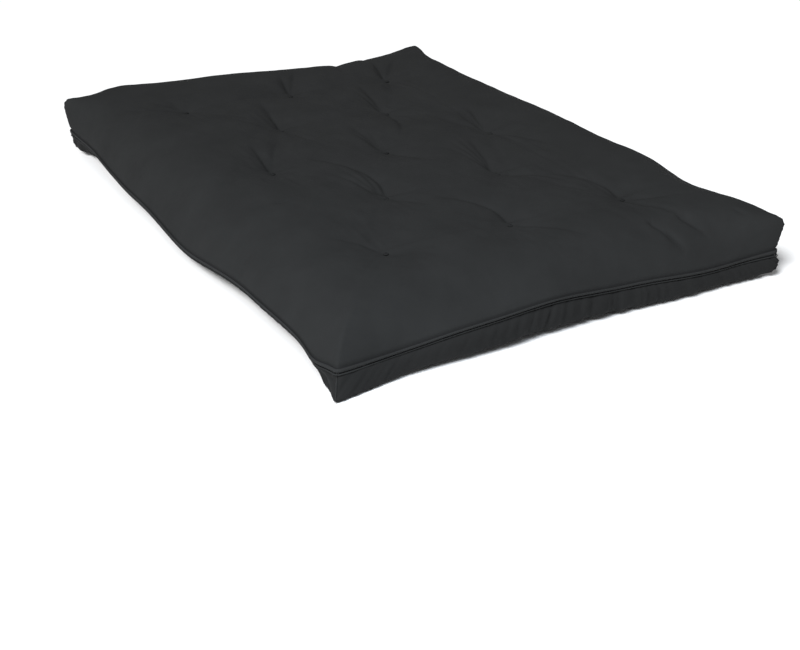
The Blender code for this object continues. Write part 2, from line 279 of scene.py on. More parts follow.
def settle(points):
    """The unevenness of the whole mattress: how each side sags, bulges and wanders between its corners. Every
    piece of the case goes through it, so they stay together."""
    points = np.array(points, float)
    x, y, z = points[..., 0], points[..., 1], points[..., 2]
    left, right = (ease(side * x, HALF_X - SIDE_DEPTH, HALF_X - 0.01) for side in (-1, 1))
    front, back = (ease(side * y, HALF_Y - SIDE_DEPTH, HALF_Y - 0.01) for side in (-1, 1))
    end_x, end_y = (ease(np.abs(at), half - 0.2, half - 0.02) for at, half in ((x, HALF_X), (y, HALF_Y)))
    calm = 1 - end_x * end_y
    seam_pull = np.where(z < SEAM, np.clip(z / SEAM, 0, 1), 1 - ease(z, SEAM, 0.185))
    shoulder = ease(z, 0.10, 0.18)
    moved = points.copy()

    sag = bumps(y, LEFT_SAG)
    moved[..., 0] -= SAG_OUT * sag * seam_pull * left * calm
    moved[..., 2] -= SAG_DOWN * sag * seam_pull * left * calm
    droop = bumps(y, LEFT_CORNER_DROOP) * seam_pull * left
    moved[..., 0] -= DROOP_OUT * droop
    moved[..., 2] -= SAG_DOWN * droop

    moved[..., 2] += bumps(x, FRONT_SEAM_RISE) * seam_pull * front * calm
    underside = np.clip(1 - z / SEAM, 0, 1) * ease(-y, HALF_Y - 0.08, HALF_Y - 0.02)
    moved[..., 2] += bumps(x, FRONT_UNDERSIDE_LIFT) * underside * calm

    moved[..., 2] += bumps(x, BACK_SHOULDER_RISE) * shoulder * back * calm
    moved[..., 1] += bumps(x, BACK_BULGE) * back * calm
    moved[..., 2] -= bumps(y, RIGHT_SHOULDER_DIP) * shoulder * right * calm

    sway = 0.003 * waves(x, y, 0.40, 11)
    moved[..., 0] += sway * (left + right) * calm
    moved[..., 1] += sway * (front + back) * calm
    edge = np.maximum(np.maximum(left, right), np.maximum(front, back))
    moved[..., 2] += 0.0022 * waves(x, y, 0.30, 13) * seam_pull * edge * calm
    over = np.maximum(moved[..., 2] - BENT_FROM, 0)
    moved[..., 2] -= over - over / (1 + over / (HIGHEST - BENT_FROM))
    moved[..., 2] = np.maximum(moved[..., 2], LOW.z)
    return moved


# ---------------------------------------------------------------- cloth
CLOTH_FRAMES = 26
CLOTH_SLACK = (1.02, 1.02, 1.0)  # how much larger the cloth is cut than it lies, on each axis
HELD_WIDTH = 1.3 * TAPE_WIDTH   # the cloth is held this near the seam
SWELL_SHARE, SWELL_CAP = 0.30, 0.010  # how much of the cloth's broad swelling is kept, and the most of it
WRINKLE_SHARE = 0.8             # how much of its wrinkles is kept
UPPER_CREASING, LOWER_CREASING = 1.7, 0.8  # how strongly each face takes the creases


def tuft_gap(x, y):
    """The distance to the nearest tuft."""
    gap = np.full(x.shape, np.inf)
    for tuft_x, tuft_y in TUFT_XY:
        gap = np.minimum(gap, np.hypot(x - tuft_x, y - tuft_y))
    return gap


def pit_shape(x, y, depth):
    """How far the tufts pull a face in before the cloth settles, sharply at each and a little all round."""
    gap = tuft_gap(x, y)
    return depth * (0.78 * np.exp(-gap / 0.040) + 0.22 * np.exp(-((gap / 0.14) ** 2)))


def grid_faces(rows, columns):
    """The number of each point of a grid, and its quads."""
    index = np.arange(rows * columns).reshape(rows, columns)
    quads = np.stack([index[:-1, :-1], index[1:, :-1], index[1:, 1:], index[:-1, 1:]], -1)
    return index, quads.reshape(-1, 4)


def read_points(obj, shape):
    """The object's evaluated points, as a grid."""
    seen = obj.evaluated_get(bpy.context.evaluated_depsgraph_get())
    points = np.empty(shape[0] * shape[1] * 3, np.float32)
    seen.data.vertices.foreach_get("co", points)
    return points.reshape(*shape, 3).astype(float)


def simulate(panel, rest, start, held):
    """Lets the panel's cloth puff out between what holds it, and returns its points. Its cut shape is rest, a
    little larger than life, so that there is slack to gather at each tuft."""
    quads = grid_faces(*start.shape[:2])[1]
    mesh = bpy.data.meshes.new("cloth")
    mesh.from_pydata(start.reshape(-1, 3).tolist(), [], (quads if panel.upper else quads[:, ::-1]).tolist())
    obj = link(bpy.data.objects.new("cloth", mesh))
    obj.shape_key_add(name="Basis")
    cut = obj.shape_key_add(name="Cut")
    cut.data.foreach_set("co", rest.astype(np.float32).ravel())
    group = obj.vertex_groups.new(name="held")
    group.add(np.flatnonzero(held.ravel()).tolist(), 1.0, "REPLACE")
    cloth = obj.modifiers.new("Cloth", "CLOTH")
    settings = cloth.settings
    settings.quality = 5
    settings.mass = 0.003
    settings.tension_stiffness = 7
    settings.compression_stiffness = 60
    settings.shear_stiffness = 5
    settings.bending_stiffness = 0.05
    settings.vertex_group_mass = group.name
    settings.rest_shape_key = cut
    settings.effector_weights.gravity = 0
    settings.use_pressure = True
    settings.uniform_pressure_force = 4
    cloth.collision_settings.use_collision = False
    cloth.point_cache.frame_start = 1
    cloth.point_cache.frame_end = CLOTH_FRAMES
    for step in range(1, CLOTH_FRAMES + 1):
        bpy.context.scene.frame_set(step)
    points = read_points(obj, start.shape[:2])
    bpy.data.objects.remove(obj, do_unlink=True)
    bpy.context.scene.frame_set(1)
    return points


def blurred(field, passes):
    """The grid of values, smoothed."""
    for _ in range(passes):
        for axis in (0, 1):
            padded = np.concatenate([field.take([0], axis), field, field.take([-1], axis)], axis)
            length = field.shape[axis]
            before = padded.take(range(0, length), axis)
            after = padded.take(range(2, length + 2), axis)
            field = 0.5 * field + 0.25 * (before + after)
    return field


def normals_of(points, upper):
    """Unit normals of a grid of points, facing out."""
    cross = np.cross(np.gradient(points, axis=0), np.gradient(points, axis=1))
    cross /= np.maximum(np.linalg.norm(cross, axis=-1, keepdims=True), 1e-12)
    return cross if upper else -cross


def gathers(panel, s, t):
    """Upright puckers below the seam, as a depth in metres at each place on the side."""
    ds, dt = panel.out(s, t)
    along = np.where(ds > dt, t, s)
    far = np.where(ds > dt, np.sign(s), 2 * np.sign(t)) * 5.0
    out = np.maximum(ds, dt)
    ridges = 1 - np.abs(waves(along, far, 0.075, 21)) * 1.1
    fine = 1 - np.abs(waves(along, far, 0.026, 22))
    patchy = 0.85 + 0.3 * waves(along, far, 0.5, 23)
    fade = ease(out, 0.55, 0.9) * (1 - 0.65 * ease(out, 0.93, 1.0))
    return (0.0050 * np.clip(ridges, 0, 1) ** 2 + 0.0030 * np.clip(fine, 0, 1) ** 2) * patchy * fade


def face_wrinkles(x, y):
    """Small soft unevenness of the filling under the cloth."""
    return 0.0010 * waves(x, y, 0.30, 31) + 0.0003 * waves(x, y, 0.075, 32)


# The creases that leave each tuft, in the tufts' order: (heading in degrees, length, turn in degrees, depth,
# width). The lengths are in metres.
TUFT_CREASES = [
    [(112, 0.15, 40, 0.0080, 0.008), (82, 0.22, 0, 0.0080, 0.026), (-50, 0.06, 0, 0.0070, 0.009)],
    [(66, 0.30, 95, 0.0140, 0.012), (-40, 0.22, -32, 0.0100, 0.011)],
    [(68, 0.31, 95, 0.0140, 0.012), (-74, 0.09, 0, 0.0080, 0.010), (-40, 0.20, 20, 0.0080, 0.009)],
    [(60, 0.42, 88, 0.0160, 0.013), (82, 0.27, 8, 0.0050, 0.007), (93, 0.26, 6, 0.0050, 0.007),
     (104, 0.22, 6, 0.0045, 0.007), (-57, 0.15, -12, 0.0100, 0.011)],
    [(73, 0.30, 2, 0.0170, 0.013), (80, 0.32, 2, 0.0050, 0.007), (87, 0.30, 2, 0.0050, 0.007),
     (95, 0.23, 2, 0.0045, 0.007), (-34, 0.20, -36, 0.0110, 0.011)],
    [(81, 0.22, 2, 0.0140, 0.012), (66, 0.34, -14, 0.0120, 0.013), (-29, 0.11, 0, 0.0080, 0.011)],
    [(88, 0.24, 4, 0.0120, 0.012), (96, 0.18, 2, 0.0050, 0.007), (78, 0.18, 2, 0.0045, 0.007),
     (-60, 0.18, -14, 0.0100, 0.011)],
    [(75, 0.22, 3, 0.0150, 0.012), (84, 0.21, 3, 0.0050, 0.007), (92, 0.17, 3, 0.0045, 0.007),
     (-66, 0.24, -14, 0.0100, 0.011)],
    [(78, 0.29, 2, 0.0160, 0.013), (112, 0.08, 0, 0.0070, 0.009), (-77, 0.18, -8, 0.0090, 0.011)],
    [(78, 0.31, 2, 0.0150, 0.013), (88, 0.22, 2, 0.0050, 0.007), (-92, 0.28, -42, 0.0120, 0.011),
     (-50, 0.16, -20, 0.0080, 0.011)],
    [(110, 0.07, 0, 0.0030, 0.007)],
    [(76, 0.20, 2, 0.0140, 0.012), (60, 0.26, 0, 0.0130, 0.013), (112, 0.08, 0, 0.0070, 0.009),
     (-70, 0.10, 0, 0.0070, 0.011)],
    [(78, 0.20, 2, 0.0140, 0.012), (-112, 0.30, -8, 0.0080, 0.012)],
]
# Creases that start away from a tuft: (x, y) and then as above.
LOOSE_CREASES = [
    ((0.325, -0.810), (-78, 0.13, 14, 0.0070, 0.006)),
    ((0.345, -0.835), (-76, 0.10, 10, 0.0050, 0.006)),
    ((0.425, -0.815), (-74, 0.11, 14, 0.0070, 0.006)),
    ((0.575, -0.840), (-72, 0.08, 10, 0.0060, 0.006)),
    ((-0.536, -0.262), (6, 0.12, 0, 0.0050, 0.006)),
    ((0.345, 1.010), (-112, 0.30, 8, 0.0100, 0.012)),
    ((0.440, 1.010), (-100, 0.24, -8, 0.0070, 0.010)),
    ((-0.705, 0.420), (-20, 0.08, 0, 0.0030, 0.007)),
    ((-0.705, 0.330), (-12, 0.07, 0, 0.0030, 0.007)),
    ((-0.705, -0.420), (10, 0.08, 0, 0.0030, 0.007)),
    ((-0.705, -0.480), (4, 0.06, 0, 0.0025, 0.006)),
]
CREASE_SAMPLES = 40
CREASE_SPREAD = 18              # how many widths to each side a crease is worked out over
PLEAT_DEPTH = 0.0065            # a crease shallower than this is a fine pleat
# How far each wall spreads, in widths: the one towards -X, then the one towards +X.
PLEAT_WALLS, CREASE_WALLS = (1.2, 0.8), (1.5, 4.0)
# The part of its length over which each starts from its tuft, in metres.
PLEAT_START, CREASE_START = (0.02, 0.06), (0, 0.03)


def crease_line(start, heading, length, turn):
    """Points of a curved line on the face, from a start along a heading in degrees, turning as it goes."""
    share = np.arange(CREASE_SAMPLES - 1) / (CREASE_SAMPLES - 1)
    angle = np.radians(heading + turn * share)
    steps = length / (CREASE_SAMPLES - 1) * np.stack([np.cos(angle), np.sin(angle)], -1)
    return np.array(start) + np.concatenate([[[0.0, 0.0]], np.cumsum(steps, axis=0)])


def crease_depth(x, y, start, crease):
    """How far one crease lowers the face: a valley with a steep wall towards -X and a long one towards +X."""
    heading, length, turn, depth, width = crease
    line = crease_line(start, heading, length, turn)
    low, high = line.min(0) - CREASE_SPREAD * width, line.max(0) + CREASE_SPREAD * width
    near = (x > low[0]) & (x < high[0]) & (y > low[1]) & (y < high[1])
    places = np.stack([x[near], y[near]], -1)
    distance = np.hypot(places[:, :1] - line[:, 0], places[:, 1:] - line[:, 1])
    nearest = distance.argmin(1)
    gap = distance[np.arange(len(nearest)), nearest]
    gap = np.hypot(gap, 0.002) - 0.002
    direction = np.gradient(line, axis=0)[nearest]
    offset = places - line[nearest]
    turned_left = direction[:, 0] * offset[:, 1] - direction[:, 1] * offset[:, 0] > 0
    shade_wall = ~turned_left if heading < 0 else turned_left
    fine = depth < PLEAT_DEPTH
    share = nearest / (CREASE_SAMPLES - 1)
    taper = ease(share * length, *(PLEAT_START if fine else CREASE_START)) * (1 - share) ** 0.7
    spread = width * np.where(shade_wall, *(PLEAT_WALLS if fine else CREASE_WALLS))
    total = np.zeros(x.shape)
    total[near] = depth * taper * np.exp(-gap / spread)
    return total


def creased(x, y, pulled, strength):
    """The depth of a face's pits, creases and pleats together. The deepest pit or crease counts most, and the
    fine pleats come on top."""
    cubes = np.maximum(pulled, 0) ** 3
    pleats = np.zeros(x.shape)
    placed = [(tuft, crease) for tuft, creases in zip(TUFT_XY, TUFT_CREASES) for crease in creases]
    for start, crease in placed + LOOSE_CREASES:
        depth = strength * crease_depth(x, y, start, crease)
        if crease[3] < PLEAT_DEPTH:
            pleats += depth
        else:
            cubes += depth ** 3
    return np.cbrt(cubes) + pleats


def shaped_panel(panel):
    """The points of a panel on the cloth's grid, puffed between its tufts, with each one's (s, t)."""
    s, t = panel.grid(GRID_STEP)
    smooth = panel.place(s, t)
    x, y = smooth[..., 0], smooth[..., 1]
    start = smooth.copy()
    if panel.upper:
        start[..., 2] -= pit_shape(x, y, PIT)
    else:
        start[..., 2] += pit_shape(x, y, tuft_place(TUFTS[0])[2])
    seam_rows = np.maximum(*panel.out(s, t)) > 1 - HELD_WIDTH / panel.reach
    held = seam_rows.copy()
    for tuft_x, tuft_y in TUFT_XY:
        gap = np.hypot(x - tuft_x, y - tuft_y)
        held |= gap <= gap.min() + 0.002
    nudge = 0.0008 * waves(s, t, 0.06, 41)
    nudge[seam_rows] = 0
    begin = start + normals_of(start, panel.upper) * nudge[..., None]
    swell = simulate(panel, smooth * np.array(CLOTH_SLACK), begin, held) - begin
    broad = blurred(swell, 6)
    close = 0.25 + 0.75 * np.exp(-((tuft_gap(x, y) / 0.13) ** 2))
    wrinkles = (swell - broad) * WRINKLE_SHARE * close[..., None]
    broad *= SWELL_SHARE
    size = np.linalg.norm(broad, axis=-1, keepdims=True)
    broad *= np.minimum(1, SWELL_CAP / np.maximum(size, 1e-9))
    return start + broad + wrinkles, s, t


def finer(field, factor):
    """The grid of values with factor steps in place of each one, on a smooth curve through them."""
    for axis in (0, 1):
        last = field.shape[axis] - 1
        at = np.arange(last * factor + 1) / factor
        first = np.minimum(at.astype(int), last - 1)
        share = (at - first).reshape([-1 if axis == side else 1 for side in range(field.ndim)])
        steps = [np.clip(first + step, 0, last) for step in (-1, 0, 1, 2)]
        before, here, after, beyond = (field.take(step, axis) for step in steps)
        bend = before * (-share + 2 * share**2 - share**3) + here * (2 - 5 * share**2 + 3 * share**3)
        bend += after * (share + 4 * share**2 - 3 * share**3) + beyond * (share**3 - share**2)
        field = bend / 2
    return field


def refined(panel, points, s, t):
    """The panel on a finer grid, with its creases and gathers."""
    factor = UPPER_FINER if panel.upper else LOWER_FINER
    points, s, t = (finer(field, factor) for field in (points, s, t))
    x, y = points[..., 0], points[..., 1]
    out = np.maximum(*panel.out(s, t))
    pulled = pit_shape(x, y, PIT)
    creases = creased(x, y, pulled, UPPER_CREASING if panel.upper else LOWER_CREASING)
    depth = (creases - pulled - face_wrinkles(x, y)) * (1 - ease(out, 0.86, 0.93))
    if panel.upper:
        above_tape = (1 - out) * panel.reach - TAPE_WIDTH
        depth += 0.0032 * bump(above_tape, 0.003, 0.005)
    else:
        depth *= 1 - 0.5 * ease(out, 0.0, 0.4)
        depth += gathers(panel, s, t)
    return settle(points - normals_of(points, panel.upper) * depth[..., None])


# ---------------------------------------------------------------- making pieces
def smooth_piece(name, points, faces):
    """A new smooth-shaded mesh object."""
    mesh = bpy.data.meshes.new(name)
    mesh.from_pydata(points.tolist(), [], faces)
    mesh.shade_smooth()
    return link(bpy.data.objects.new(name, mesh))


def between_grids(name, outer, inner, flip=False):
    """A closed solid between two grids of points, with a wall round its rim. The outer grid is the upper one
    unless it is flipped."""
    index, quads = grid_faces(*outer.shape[:2])
    rim = np.concatenate([index[:, 0], index[-1, 1:], index[-2::-1, -1], index[0, -2:0:-1]])
    after = np.roll(rim, -1)
    wall = np.stack([rim, rim + index.size, after + index.size, after], -1)
    faces = np.concatenate([quads, quads[:, ::-1] + index.size, wall])
    if flip:
        faces = faces[:, ::-1]
    points = np.concatenate([outer.reshape(-1, 3), inner.reshape(-1, 3)])
    return smooth_piece(name, points, faces.tolist())


def ring_solid(name, rings):
    """A closed band from rings of points, one for each corner of its section, joined in turn."""
    count = len(rings[0])
    i = np.arange(count)
    j = np.roll(i, -1)
    faces = []
    for a in range(len(rings)):
        b = (a + 1) % len(rings)
        faces += np.stack([a * count + i, a * count + j, b * count + j, b * count + i], -1).tolist()
    return smooth_piece(name, np.concatenate(rings), faces)


def barrel_faces(rings, sides):
    """Faces round a stack of rings of points, with a cap on both ends."""
    faces = []
    for a in range(rings - 1):
        for k in range(sides):
            m = (k + 1) % sides
            faces.append([a * sides + k, a * sides + m, (a + 1) * sides + m, (a + 1) * sides + k])
    faces.append(list(range(sides))[::-1])
    faces.append([(rings - 1) * sides + k for k in range(sides)])
    return faces


def bend_with_fold(obj, node):
    """Bakes the piece's placement into its mesh. For a node, it also hides both halves of that CAD layer,
    which the piece stands for.
    """
    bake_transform(obj)
    if node:
        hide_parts(f"seat_{node}", f"back_{node}")


# ---------------------------------------------------------------- materials
def new_material(name, colour, roughness):
    """A plain material, with its node tree and its shader."""
    made = bpy.data.materials.new(name)
    made.use_nodes = True
    shader = made.node_tree.nodes["Principled BSDF"]
    shader.inputs["Base Color"].default_value = (*colour, 1)
    shader.inputs["Roughness"].default_value = roughness
    return made, made.node_tree, shader


def add_node(tree, kind, inputs=None, **attributes):
    """A new node, with the attributes and the unlinked inputs that are given."""
    node = tree.nodes.new(kind)
    for key, value in attributes.items():
        setattr(node, key, value)
    for key, value in (inputs or {}).items():
        node.inputs[key].default_value = value
    return node


def add_relief(tree, shader, height, strength, distance):
    """A bump on the surface, from a height."""
    relief = add_node(tree, "ShaderNodeBump", {"Strength": strength, "Distance": distance})
    tree.links.new(height, relief.inputs["Height"])
    tree.links.new(relief.outputs["Normal"], shader.inputs["Normal"])


def add_tones(tree, shader, pattern, stops):
    """The base colour, from a pattern and the (position, colour) of its two ends."""
    tones = add_node(tree, "ShaderNodeValToRGB")
    for element, (position, colour) in zip(tones.color_ramp.elements, stops):
        element.position = position
        element.color = (*colour, 1)
    tree.links.new(pattern, tones.inputs["Fac"])
    tree.links.new(tones.outputs["Color"], shader.inputs["Base Color"])


def shaded(colour, share):
    """The colour, darker or lighter."""
    return [channel * share for channel in colour]


def twill(name, colour, relief):
    """Black cotton twill: diagonal ribs crossed by a fine weave, a little uneven in tone."""
    made, tree, shader = new_material(name, colour, 0.92)
    shader.inputs["Specular IOR Level"].default_value = 0.12
    place = add_node(tree, "ShaderNodeTexCoord")
    ribs = add_node(tree, "ShaderNodeTexWave", {"Scale": 260, "Distortion": 1.5, "Detail Scale": 2},
                    wave_type="BANDS", bands_direction="DIAGONAL")
    weft = add_node(tree, "ShaderNodeTexNoise", {"Scale": 900})
    cloudy = add_node(tree, "ShaderNodeTexNoise", {"Scale": 9, "Detail": 5})
    for node in (ribs, weft, cloudy):
        tree.links.new(place.outputs["Object"], node.inputs["Vector"])
    weave = add_node(tree, "ShaderNodeMix", {0: 0.4}, data_type="FLOAT")
    tree.links.new(ribs.outputs["Fac"], weave.inputs[2])
    tree.links.new(weft.outputs["Fac"], weave.inputs[3])
    add_relief(tree, shader, weave.outputs[0], relief, 0.0004)
    stops = [(0.3, shaded(colour, 0.90)), (0.75, shaded(colour, 1.08))]
    add_tones(tree, shader, cloudy.outputs["Fac"], stops)
    return made


def soft_fill(name, colour, scale, relief, porous):
    """Foam, with small open cells, or cotton batting, with soft fibres."""
    made, tree, shader = new_material(name, colour, 0.95)
    place = add_node(tree, "ShaderNodeTexCoord")
    cells = add_node(tree, "ShaderNodeTexVoronoi" if porous else "ShaderNodeTexNoise", {"Scale": scale})
    tree.links.new(place.outputs["Object"], cells.inputs["Vector"])
    height = cells.outputs["Distance" if porous else "Fac"]
    add_relief(tree, shader, height, relief, 0.002)
    add_tones(tree, shader, height, [(0, shaded(colour, 0.85)), (1, colour)])
    return made


TWILL = twill("black_twill_cloth", (0.0161, 0.0167, 0.0169), 0.5)
# The lower cover uses the same twill painted about a fifth darker. This is painted shade for the underside,
# which sits out of the light.
SHADED_UNDERSIDE_TWILL = twill("black_twill_painted_shade_underside", (0.0130, 0.0133, 0.0134), 0.5)
TAPE = twill("black_tape_cloth", (0.0200, 0.0207, 0.0210), 0.6)
TWINE = twill("black_twine_thread", (0.010, 0.010, 0.011), 0.4)
FELT = twill("black_felt_pad", (0.0132, 0.0136, 0.0138), 0.4)
COTTON = soft_fill("cotton_fibre", (0.78, 0.75, 0.68), 180, 0.6, False)
SOFT_FOAM = soft_fill("soft_foam_cells", (0.80, 0.74, 0.52), 700, 0.4, True)
CORE_FOAM = soft_fill("core_foam_cells", (0.55, 0.62, 0.66), 500, 0.4, True)


# ---------------------------------------------------------------- the case
CLOTH_THICKNESS = 0.0015
EDGE_STEP = 0.008               # along the seam, for the tape and the welt
TAPE_STOP = 0.0035              # how far above the seam the tape ends
TAPE_LIFTS = [0.0004, 0.0024, 0.0028, 0.0024, 0.0006]  # its outside off the cloth, from its upper edge down
TAPE_BACK_LIFT = 0.0001
WELT_RADIUS = 0.0021
WELT_SIDES = 8
WELT_LIFT, WELT_DROP = 0.0012, 0.0025  # its middle off the cloth, and below the seam
THREAD_RADIUS = 0.0009
STITCH_STEP = 0.0025            # the length of a stitch, and of the gap after it
STITCH_LIFT = 0.0004


def build_case():
    """The two cloth covers. Returns their points, for what lies in and on them."""
    made = []
    for panel, name, node in ((UPPER, "cover_top", "top_case"), (LOWER, "cover_bottom", "bottom_case")):
        outside = refined(panel, *shaped_panel(panel))
        inside = outside - normals_of(outside, panel.upper) * CLOTH_THICKNESS
        cover = between_grids(name, outside, inside, flip=not panel.upper)
        # The lower cover gets the darker twill, which is its painted shade.
        cover.data.materials.append(TWILL if panel.upper else SHADED_UNDERSIDE_TWILL)
        bend_with_fold(cover, node)
        made.append(outside)
    return made


def rim_place(s, t, share):
    """The top panel's places at one share of the way to the seam, from those at the seam."""
    scales = [(flat + share * UPPER.reach) / (flat + UPPER.reach) for flat in (UPPER.flat_x, UPPER.flat_y)]
    return UPPER.place(s * scales[0], t * scales[1])


def rim_normals(s, t, share):
    """Outward normals of the top panel's rim at one share of the way to the seam."""
    here = rim_place(s, t, share)
    along = np.roll(here, -1, axis=0) - np.roll(here, 1, axis=0)
    up = rim_place(s, t, share - 0.002) - here
    normals = np.cross(along, up)
    return normals / np.maximum(np.linalg.norm(normals, axis=-1, keepdims=True), 1e-12)


def seam_section(shares, lifts, spacing):
    """Rings of settled points over the top panel's rim, each a share of the way to the seam and lifted off."""
    s, t = UPPER.ring(1.0, spacing)
    rings = []
    for share, lift in zip(shares, lifts):
        rings.append(settle(rim_place(s, t, share) + rim_normals(s, t, share) * lift))
    return rings


def build_edge():
    """The flat tape above the seam, and the welt in the seam."""
    top_share = 1 - TAPE_WIDTH / UPPER.reach
    low_share = 1 - TAPE_STOP / UPPER.reach
    shares = [top_share, top_share + 0.004, (top_share + low_share) / 2, low_share - 0.004, low_share]
    outer = seam_section(shares, TAPE_LIFTS, EDGE_STEP)
    inner = seam_section(shares[::-1], [TAPE_BACK_LIFT] * len(shares), EDGE_STEP)
    tape = ring_solid("edge_binding_tape", outer + inner)
    tape.data.materials.append(TAPE)
    bend_with_fold(tape, "edge_tape")

    centre = seam_section([1.0], [WELT_LIFT], EDGE_STEP)[0]
    centre[:, 2] -= WELT_DROP
    around = np.roll(centre, -1, axis=0) - np.roll(centre, 1, axis=0)
    around /= np.linalg.norm(around, axis=-1, keepdims=True)
    side = np.cross(around, (0, 0, 1))
    side /= np.linalg.norm(side, axis=-1, keepdims=True)
    rings = []
    for step in range(WELT_SIDES):
        angle = -math.tau * step / WELT_SIDES
        rings.append(centre + WELT_RADIUS * (math.cos(angle) * side + math.sin(angle) * np.array([0, 0, 1])))
    welt = ring_solid("seam_welt", rings)
    welt.data.materials.append(TAPE)
    bend_with_fold(welt, "welt_cord")


def stitches_mesh(name, tops, ends):
    """Short rounded threads, one from each of tops to each of ends, in one mesh."""
    axis = ends - tops
    length = np.linalg.norm(axis, axis=-1, keepdims=True)
    axis = axis / length
    helper = np.where(np.abs(axis[:, 2:3]) > 0.9, np.array([[1.0, 0, 0]]), np.array([[0, 0, 1.0]]))
    u = np.cross(axis, helper)
    u /= np.linalg.norm(u, axis=-1, keepdims=True)
    v = np.cross(axis, u)
    stations = [(0.0, 0.35), (0.12, 1.0), (0.88, 1.0), (1.0, 0.35)]
    sides = 6
    points = []
    for share, swell in stations:
        for k in range(sides):
            angle = math.tau * k / sides
            ring = tops + axis * length * share
            points.append(ring + THREAD_RADIUS * swell * (math.cos(angle) * u + math.sin(angle) * v))
    points = np.stack(points, 1).reshape(-1, 3)
    base = np.arange(len(tops))[:, None] * sides * len(stations)
    faces = []
    for face in barrel_faces(len(stations), sides):
        turned_over = np.array(face[:1] + face[:0:-1])
        faces += (base + turned_over).tolist()
    return smooth_piece(name, points, faces)


def build_stitches():
    """The row of stitches along the tape's upper edge."""
    share = 1 - (TAPE_WIDTH + 0.0005) / UPPER.reach
    line = seam_section([share], [STITCH_LIFT], STITCH_STEP)[0]
    line = line[: len(line) // 2 * 2]
    row = stitches_mesh("topstitching", line[0::2], line[1::2])
    row.data.materials.append(TWINE)
    bend_with_fold(row, None)


# ---------------------------------------------------------------- tufts
# The outline of a tuft's pad, from its base to its crown: shares of its (radius, thickness).
PAD_OUTLINE = [(0.86, 0.0), (0.99, 0.22), (1.0, 0.45), (0.90, 0.78), (0.62, 1.0), (0.30, 0.92), (0.08, 0.80)]
PAD_SIDES, TWINE_SIDES = 20, 10
TWINE_RADIUS = 0.0012
KNOT_HEIGHT, KNOT_REACH = 0.95, 0.55  # shares of the pad's thickness and radius
KNOT_SLANT = 0.0006


def turned(name, profile, sides, x, y):
    """A round piece about an upright axis, from (radius, height) points, closed at both ends."""
    points = []
    for radius, z in profile:
        for k in range(sides):
            angle = math.tau * k / sides
            points.append((x + radius * math.cos(angle), y + radius * math.sin(angle), z))
    return smooth_piece(name, np.array(points), barrel_faces(len(profile), sides))


def build_tufts():
    """The pad and the knot at each end of every tuft's twine, and the twine itself."""
    for tuft in TUFTS:
        x, y, low, high = tuft_place(tuft)
        for face in ("top", "bottom"):
            near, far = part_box(f"{tuft}_{face}_button")
            base, crown = (near.z, far.z) if face == "top" else (far.z, near.z)
            rise = crown - base
            radius = (far.x - near.x) / 2
            profile = [(radius * out, base + rise * up) for out, up in PAD_OUTLINE]
            pad = turned(f"{tuft}_{face}_pad", profile if face == "top" else profile[::-1], PAD_SIDES, x, y)
            pad.data.materials.append(FELT)
            dress_tuft(pad, f"{tuft}_{face}_button", x)
            knot = stitches_mesh(f"{tuft}_{face}_knot", *knot_ends(x, y, base + KNOT_HEIGHT * rise, radius))
            knot.data.materials.append(TWINE)
            dress_tuft(knot, None, x)
        profile = [(TWINE_RADIUS, z) for z in np.linspace(low, high, 9)]
        cord = turned(f"{tuft}_cord", profile, TWINE_SIDES, x, y)
        cord.data.materials.append(TWINE)
        dress_tuft(cord, f"{tuft}_twine", x)


def knot_ends(x, y, z, radius):
    """The ends of the two turns of twine that cross a tuft pad."""
    reach = radius * KNOT_REACH
    starts = np.array([[x - reach, y - KNOT_SLANT, z], [x - KNOT_SLANT, y - reach, z]])
    ends = np.array([[x + reach, y + KNOT_SLANT, z], [x + KNOT_SLANT, y + reach, z]])
    return starts, ends


def dress_tuft(piece, node, x):
    """A tuft's piece rides on its half, or is baked in place where it stands on the fold."""
    if abs(x) < FOLD_REACH:
        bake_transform(piece)
    else:
        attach(piece, SEAT if x < 0 else BACK)
    if node:
        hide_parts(node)


# ---------------------------------------------------------------- the corners
CORNER_SEAM_RADIUS = 0.0016
CORNER_SEAM_DEPTH = 0.065       # how far below the edge seam it runs
PROUD_OVER_TAPE, PROUD_BELOW = 0.0026, 0.0006  # how far its middle stands off the panels


def corner_line(points, left, near, count):
    """The first points of a panel's diagonal, from the seam at one of its corners inwards."""
    rows, columns = points.shape[:2]
    return [points[k if left else rows - 1 - k, k if near else columns - 1 - k] for k in range(count)]


def build_corner_seams(top, bottom):
    """The short upright seam in each corner, from the top of the tape to the lowest point of the corner."""
    above = round(TAPE_WIDTH / (GRID_STEP / UPPER_FINER))
    below = round(CORNER_SEAM_DEPTH / (GRID_STEP / LOWER_FINER))
    middle = np.array([0, 0, SEAM])
    for number, (left, near) in enumerate(((True, True), (False, True), (False, False), (True, False)), 1):
        path = corner_line(top, left, near, above + 1)[::-1] + corner_line(bottom, left, near, below)
        path = np.array(path)
        outward = path - middle
        outward[:, 2] = 0
        outward /= np.linalg.norm(outward, axis=-1, keepdims=True)
        proud = np.where(np.arange(len(path)) <= above + 1, PROUD_OVER_TAPE, PROUD_BELOW)
        seam = tube(f"corner_seam_{number}", path + outward * proud[:, None], CORNER_SEAM_RADIUS)
        seam.data.materials.append(TAPE)
        bend_with_fold(seam, None)


def tube(name, path, radius):
    """A closed round cord along a path."""
    sides = 8
    along = np.gradient(path, axis=0)
    along /= np.linalg.norm(along, axis=-1, keepdims=True)
    u = np.cross(along, (0.0, 0.0, 1.0)) + 1e-6
    u /= np.linalg.norm(u, axis=-1, keepdims=True)
    v = np.cross(along, u)
    rings = []
    for k in range(sides):
        angle = math.tau * k / sides
        rings.append(path + radius * (math.cos(angle) * u + math.sin(angle) * v))
    return smooth_piece(name, np.stack(rings, 1).reshape(-1, 3), barrel_faces(len(path), sides))


# ---------------------------------------------------------------- the filling
FILL_STEP = 0.03
FILL_INSET = 0.042
FILL_CLEARANCE = 0.004
